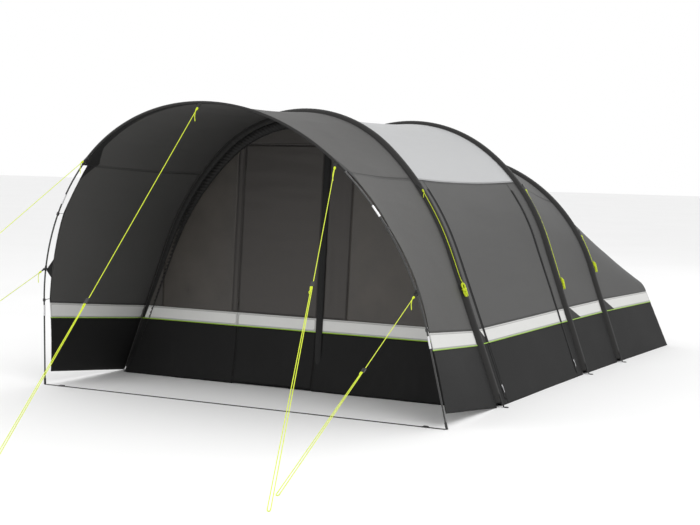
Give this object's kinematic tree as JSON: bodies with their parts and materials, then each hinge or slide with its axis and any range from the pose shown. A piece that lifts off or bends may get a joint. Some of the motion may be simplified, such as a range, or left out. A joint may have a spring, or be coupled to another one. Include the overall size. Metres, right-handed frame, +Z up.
{
  "type": "tunnel tent",
  "caption": "Family tunnel tent on three arched beams with a pole-held front canopy, porch, living room and bedroom, side doors, zips and guy lines.",
  "frame": {"origin": "On the ground, in the middle of the tent's width and of its length without the guy lines.", "axes": "+X to the right seen from the front, +Y to the back along the tunnel, +Z up."},
  "size_m": [3.286, 7.1555, 1.9538],
  "materials": {
    "fly_grey": "woven polyester with a matt coating",
    "roof_silver": "woven polyester, silver coated",
    "sleeve_dark": "heavy woven polyester",
    "strip_light": "woven polyester, pale, with a lime piping",
    "skirt_black": "coated polyester",
    "window_tint": "tinted clear film",
    "wall_brown": "woven polyester in shade",
    "inner_fabric": "breathable polyester",
    "floor_black": "laminated polyethylene",
    "bladder": "polyurethane film",
    "glass_fibre": "lacquered rod",
    "ferrule_metal": "drawn tube",
    "hard_black": "moulded acetal",
    "webbing_black": "woven webbing",
    "zip_black": "woven tape",
    "zip_metal": "cast zinc, plated",
    "line_lime": "braided cord"
  },
  "bodies": {
    "root": {"air_beam_front": "bladder", "air_beam_middle": "bladder", "air_beam_rear": "bladder", "beam_sleeve_front": "sleeve_dark", "beam_sleeve_middle": "sleeve_dark", "beam_sleeve_rear": "sleeve_dark", "beam_valves": "hard_black", "bedroom_roof": "fly_grey", "bedroom_walls": "fly_grey", "canopy_roof": "fly_grey", "canopy_walls": "fly_grey", "front_wall": "wall_brown", "front_windows": "window_tint", "ground_strap": "webbing_black", "groundsheet": "floor_black", "guy_line_apex": "line_lime", "guy_line_left_high": "line_lime", "guy_line_left_low": "line_lime", "guy_line_right_high": "line_lime", "guy_line_right_low": "line_lime", "guy_tabs": "webbing_black", "inner_front": "inner_fabric", "inner_tent": "inner_fabric", "light_strips": "strip_light", "line_hank_front": "line_lime", "line_hank_middle": "line_lime", "line_hank_rear": "line_lime", "living_roof": "roof_silver", "living_walls": "fly_grey", "peg_loops": "webbing_black", "pole_clips": "hard_black", "pole_feet": "hard_black", "pole_ferrules": "ferrule_metal", "pole_sections": "glass_fibre", "pole_sleeve": "sleeve_dark", "rear_roof": "fly_grey", "skirts": "skirt_black", "stored_line_front": "line_lime", "stored_line_middle": "line_lime", "stored_line_rear": "line_lime", "zip_tapes": "zip_black"},
    "front_door": {"front_door": "wall_brown"},
    "inner_door": {"inner_door": "inner_fabric"},
    "line_runner_apex": {"line_runner_apex": "hard_black"},
    "line_runner_left_high": {"line_runner_left_high": "hard_black"},
    "line_runner_left_low": {"line_runner_left_low": "hard_black"},
    "line_runner_right_high": {"line_runner_right_high": "hard_black"},
    "line_runner_right_low": {"line_runner_right_low": "hard_black"},
    "side_door_left": {"side_door_left": "fly_grey"},
    "side_door_right": {"side_door_right": "fly_grey"},
    "strap_buckle_left": {"strap_buckle_left": "hard_black"},
    "strap_buckle_right": {"strap_buckle_right": "hard_black"},
    "valve_cap_front": {"valve_cap_front": "hard_black"},
    "valve_cap_middle": {"valve_cap_middle": "hard_black"},
    "valve_cap_rear": {"valve_cap_rear": "hard_black"},
    "zip_slider_front": {"zip_slider_front": "zip_metal"},
    "zip_slider_left_front": {"zip_slider_left_front": "zip_metal"},
    "zip_slider_left_rear": {"zip_slider_left_rear": "zip_metal"},
    "zip_slider_right_front": {"zip_slider_right_front": "zip_metal"},
    "zip_slider_right_rear": {"zip_slider_right_rear": "zip_metal"}
  },
  "joints": [
    {"name": "front_door_swing", "type": "hinge", "parent": "root", "child": "front_door", "pos_m": [-0.472, -1.4073, 0], "axis": [0, 0.068, 0.9977], "range_deg": [-90, 0]},
    {"name": "side_door_right_swing", "type": "hinge", "parent": "root", "child": "side_door_right", "pos_m": [0.83894, -1.12409, 1.47884], "axis": [0.0355, 0.9992, -0.0172], "range_deg": [-95, 0]},
    {"name": "side_door_left_swing", "type": "hinge", "parent": "root", "child": "side_door_left", "pos_m": [-0.83894, -1.12409, 1.47884], "axis": [-0.0355, 0.9992, -0.0172], "range_deg": [0, 95]},
    {"name": "inner_door_swing", "type": "hinge", "parent": "root", "child": "inner_door", "pos_m": [-0.43, 0.56091, 0.2], "axis": [0, 0, 1], "range_deg": [-100, 0]},
    {"name": "valve_cap_front_turn", "type": "hinge", "parent": "root", "child": "valve_cap_front", "pos_m": [1.32769, -1.27409, 0.26758], "axis": [-0.9348, 0, -0.3551], "range_deg": [0, 90]},
    {"name": "valve_cap_middle_turn", "type": "hinge", "parent": "root", "child": "valve_cap_middle", "pos_m": [1.34417, 0.48591, 0.26937], "axis": [-0.9421, 0, -0.3355], "range_deg": [0, 90]},
    {"name": "valve_cap_rear_turn", "type": "hinge", "parent": "root", "child": "valve_cap_rear", "pos_m": [1.3647, 1.29591, 0.26952], "axis": [-0.9426, 0, -0.3338], "range_deg": [0, 90]},
    {"name": "zip_slider_right_front_slide", "type": "slide", "parent": "root", "child": "zip_slider_right_front", "axis": [-0.3534, 0, 0.9355], "range_m": [0, 0.75]},
    {"name": "zip_slider_right_rear_slide", "type": "slide", "parent": "root", "child": "zip_slider_right_rear", "axis": [-0.3375, 0, 0.9413], "range_m": [0, 0.75]},
    {"name": "zip_slider_left_front_slide", "type": "slide", "parent": "root", "child": "zip_slider_left_front", "axis": [0.3534, 0, 0.9355], "range_m": [0, 0.75]},
    {"name": "zip_slider_left_rear_slide", "type": "slide", "parent": "root", "child": "zip_slider_left_rear", "axis": [0.3375, 0, 0.9413], "range_m": [0, 0.75]},
    {"name": "zip_slider_front_slide", "type": "slide", "parent": "root", "child": "zip_slider_front", "axis": [0, 0.068, 0.9977], "range_m": [0, 1.45]},
    {"name": "line_runner_apex_slide", "type": "slide", "parent": "root", "child": "line_runner_apex", "axis": [-0.003, 0.7017, 0.7125], "range_m": [-0.04, 0.3]},
    {"name": "line_runner_right_high_slide", "type": "slide", "parent": "root", "child": "line_runner_right_high", "axis": [-0.2791, 0.7464, 0.6042], "range_m": [-0.04, 0.3]},
    {"name": "line_runner_left_high_slide", "type": "slide", "parent": "root", "child": "line_runner_left_high", "axis": [0.2733, 0.7485, 0.6042], "range_m": [-0.04, 0.3]},
    {"name": "line_runner_right_low_slide", "type": "slide", "parent": "root", "child": "line_runner_right_low", "axis": [-0.0691, 0.9097, 0.4096], "range_m": [-0.04, 0.3]},
    {"name": "line_runner_left_low_slide", "type": "slide", "parent": "root", "child": "line_runner_left_low", "axis": [0.061, 0.9102, 0.4096], "range_m": [-0.04, 0.3]},
    {"name": "strap_buckle_right_slide", "type": "slide", "parent": "root", "child": "strap_buckle_right", "axis": [1, 0, 0], "range_m": [-0.12, 0.06]},
    {"name": "strap_buckle_left_slide", "type": "slide", "parent": "root", "child": "strap_buckle_left", "axis": [-1, 0, 0], "range_m": [-0.12, 0.06]}
  ]
}
